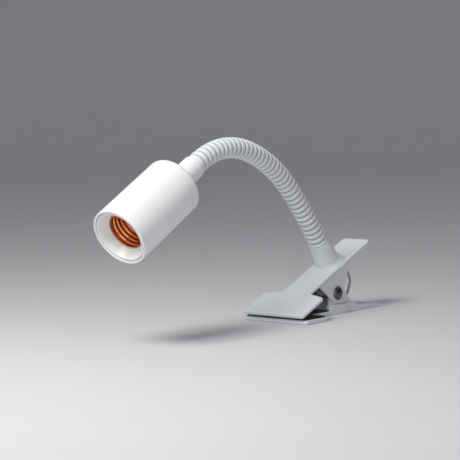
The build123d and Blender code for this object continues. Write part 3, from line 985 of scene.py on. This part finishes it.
@dataclass
class PinAndSpring:
    """Steel pin with its domed head, its cap, and the torsion spring on it."""

    pivot: Point = (50.8, 12.5)
    pin_radius: float = 2.5
    ear_outer: float = 13.4
    head_radius: float = 5.5
    head_height: float = 2.9
    cap_radius: float = 5.0
    wire: float = 1.0
    coil: float = 4.6
    turns: float = 5.0
    leg_x: float = 7.2

    def _on_pin(self, bm: bmesh.types.BMesh) -> bmesh.types.BMesh:
        """Turns a mesh about Z so that Z lies along the pin."""
        note_along(bm, lambda co: co.z + 0.5 * math.hypot(co.x, co.y))
        bmesh.ops.rotate(bm, cent=(0, 0, 0), matrix=Matrix.Rotation(math.pi / 2, 3, "Y"), verts=bm.verts)
        bmesh.ops.translate(bm, vec=(0.0, *self.pivot), verts=bm.verts)
        return bm

    def pin(self) -> bmesh.types.BMesh:
        """Shank and polished domed head, whose near-black finish paints a dark reflection."""
        low = -self.ear_outer - 2.6
        face = self.ear_outer + 0.2
        crown = (self.head_radius ** 2 + self.head_height ** 2) / (2 * self.head_height)
        dome = []
        for step in range(17):
            radius = self.head_radius * (1 - step / 16)
            dome.append((radius, face + self.head_height - crown + math.sqrt(crown ** 2 - radius ** 2)))
        outline = [(0.0, low), (self.pin_radius - 0.3, low), (self.pin_radius, low + 0.4)]
        outline += [(self.pin_radius, face), (self.head_radius - 0.25, face)]
        outline += [(self.head_radius, face + 0.15)]
        return self._on_pin(turned(outline + dome[1:], 64, closed=False))

    def cap(self) -> bmesh.types.BMesh:
        """Domed push-on cap."""
        face = -self.ear_outer - 0.2
        corners = [
            (self.pin_radius, face, 0.0),
            (self.pin_radius, face - 2.4, 0.0),
            (0.0, face - 2.4, 0.0),
            (0.0, face - 3.4, 0.0),
            (self.cap_radius - 0.4, face - 3.4, 2.4),
            (self.cap_radius, face, 0.2),
        ]
        points = rounded(corners, 8)
        first = next(i for i, point in enumerate(points) if point[0] == 0.0)
        ordered = points[first + 1:] + points[:first + 1]
        return self._on_pin(turned(ordered, 64, closed=False))

    def coil_and_lower_leg(self) -> bmesh.types.BMesh:
        """Coil and the leg that bears on the bracket's floor."""
        y, z = self.pivot
        route = []
        spans = 26
        total = int(self.turns * spans)
        half = self.turns * self.wire
        for step in range(total + 1):
            angle = -math.pi / 2 - math.tau * step / spans
            x = half - 2 * half * step / total
            route.append(Vector((x, y + self.coil * math.cos(angle), z + self.coil * math.sin(angle))))
        leg_end = Vector((-half, 71.3, -1.2))
        exit_at = Vector((-half, y + 1.0, z - self.coil))
        for step in range(1, 9):
            route.append(exit_at.lerp(leg_end, step / 8))
        return swept(route, self.wire)

    def upper_leg(self) -> bmesh.types.BMesh:
        """Leg that rises behind the ears and bears on the handle."""
        y, z = self.pivot
        corners = [
            (y + 3.0, z - self.coil, 0.0),
            (y + 21.3, z - self.coil + 1.4, 5.0),
            (y + 25.7, z + 7.6, 5.0),
            (y + 18.2, z + 23.4, 0.0),
        ]
        route = [Vector((self.leg_x, a, b)) for a, b in rounded(corners, 12, closed=False)]
        return swept(route, self.wire)

    def build(self, bench: Bench) -> None:
        """Makes the pin, the cap and the spring."""
        # Pin and cap both take the near-black steel that paints a dark reflection.
        bench.mount(bench.finished(self.pin(), "domed_pin", Finish.PIN), "clamp", "pivot_pin")
        bench.mount(bench.finished(self.cap(), "pin_end_cap", Finish.PIN), "clamp", "pin_cap")
        coil = self.coil_and_lower_leg()
        bench.mount(bench.finished(coil, "torsion_coil", Finish.WIRE, 60.0), "clamp", "spring_coil")
        leg = bench.finished(self.upper_leg(), "torsion_upper_leg", Finish.WIRE, 60.0)
        bench.mount(leg, "clip_top", "spring_upper_leg")


def smooth(share: float) -> float:
    """Smooth step from 0 to 1 of a share."""
    share = min(1.0, max(0.0, share))
    return share * share * (3 - 2 * share)


# ---------------------------------------------------------------- studio


@dataclass
class Studio:
    """Pale floor that curves up all round, soft lights, and the camera."""

    floor_z: float = -0.0043
    eye: tuple[float, float, float] = (0.754456, -0.96762, 0.16564)
    right: tuple[float, float, float] = (0.76781, 0.64039, -0.01941)
    up: tuple[float, float, float] = (-0.03637, 0.07381, 0.99661)
    lens: float = 124.08
    aim: tuple[float, float, float] = (0.0, -0.08, 0.07)
    key_place: tuple[float, float, float] = (0.02, -0.60, 0.66)
    key_size: float = 0.36
    key_watts: float = 5.2
    fill_place: tuple[float, float, float] = (1.2, -1.3, 0.7)
    fill_size: float = 1.8
    fill_watts: float = 6.0
    surround: float = 0.33

    def floor(self) -> None:
        """Round floor whose edge rises in a wide curve."""
        outline = rounded([(0.0, 0.0, 0.0), (4.5, 0.0, 1.8), (4.5, 3.4, 0.0)], 16, closed=False)
        bm = turned(outline, 96, closed=False)
        bmesh.ops.translate(bm, vec=(0, 0, self.floor_z), verts=bm.verts)
        bmesh.ops.reverse_faces(bm, faces=[face for face in bm.faces if face.normal.z < 0])
        for face in bm.faces:
            face.smooth = True
        sweep = as_object(bm, "studio_floor")
        graph = Graph("pale_floor")
        tone = graph.mix(graph.noise(60.0, 3.0), (0.70, 0.70, 0.71, 1.0), (0.73, 0.73, 0.74, 1.0))
        sweep.data.materials.append(graph.surface({"Base Color": tone, "Roughness": 0.75}))

    def softbox(self, name: str, place: Vector, size: float, watts: float) -> None:
        """One round softbox at a place, aimed at the lamp."""
        light = bpy.data.lights.new(name, "AREA")
        light.shape = "DISK"
        light.size = size
        light.energy = watts
        holder = bpy.data.objects.new(name, light)
        holder.location = place
        holder.rotation_euler = (Vector(self.aim) - place).to_track_quat("-Z", "Y").to_euler()
        holder.visible_camera = False
        bpy.context.scene.collection.objects.link(holder)

    def lights(self) -> None:
        """Soft key from the left, softer fill from the front, and an even pale surround."""
        self.softbox("key_softbox", Vector(self.key_place), self.key_size, self.key_watts)
        self.softbox("fill_softbox", Vector(self.fill_place), self.fill_size, self.fill_watts)
        world = bpy.data.worlds.new("pale_surround")
        world.use_nodes = True
        background = world.node_tree.nodes["Background"]
        background.inputs["Color"].default_value = (0.94, 0.97, 1.0, 1.0)
        background.inputs["Strength"].default_value = self.surround
        bpy.context.scene.world = world
        bpy.context.scene.view_settings.view_transform = "Standard"

    def camera(self) -> None:
        """Camera in front, to the right of the clip."""
        data = bpy.data.cameras.new("main_camera")
        data.sensor_width = 36.0
        data.lens = self.lens
        data.clip_end = 50.0
        right, up = Vector(self.right), Vector(self.up)
        turn_to = Matrix((right, up, right.cross(up))).transposed().to_4x4()
        holder = bpy.data.objects.new("main_camera", data)
        holder.matrix_world = Matrix.Translation(Vector(self.eye)) @ turn_to
        bpy.context.scene.collection.objects.link(holder)
        bpy.context.scene.camera = holder

    def build(self) -> None:
        """Sets up floor, lights and camera."""
        self.camera()
        self.floor()
        self.lights()


def main() -> None:
    """Builds the lamp's sub-assemblies in order and reports each piece."""
    logging.basicConfig(level=logging.INFO, format="%(message)s")
    Studio().build()
    bench = Bench()
    neck = Neck()
    neck.build(bench)
    for index in range(LINKS):
        bench.dress(f"core_link_{index + 1:02d}", Finish.WIRE)
    Lampholder(neck).build(bench)
    UpperHalf(neck).build(bench)
    LowerHalf().build(bench)
    PinAndSpring().build(bench)
    log.info("%d pieces made", len(bench.made))


if __name__ == "__main__":
    main()
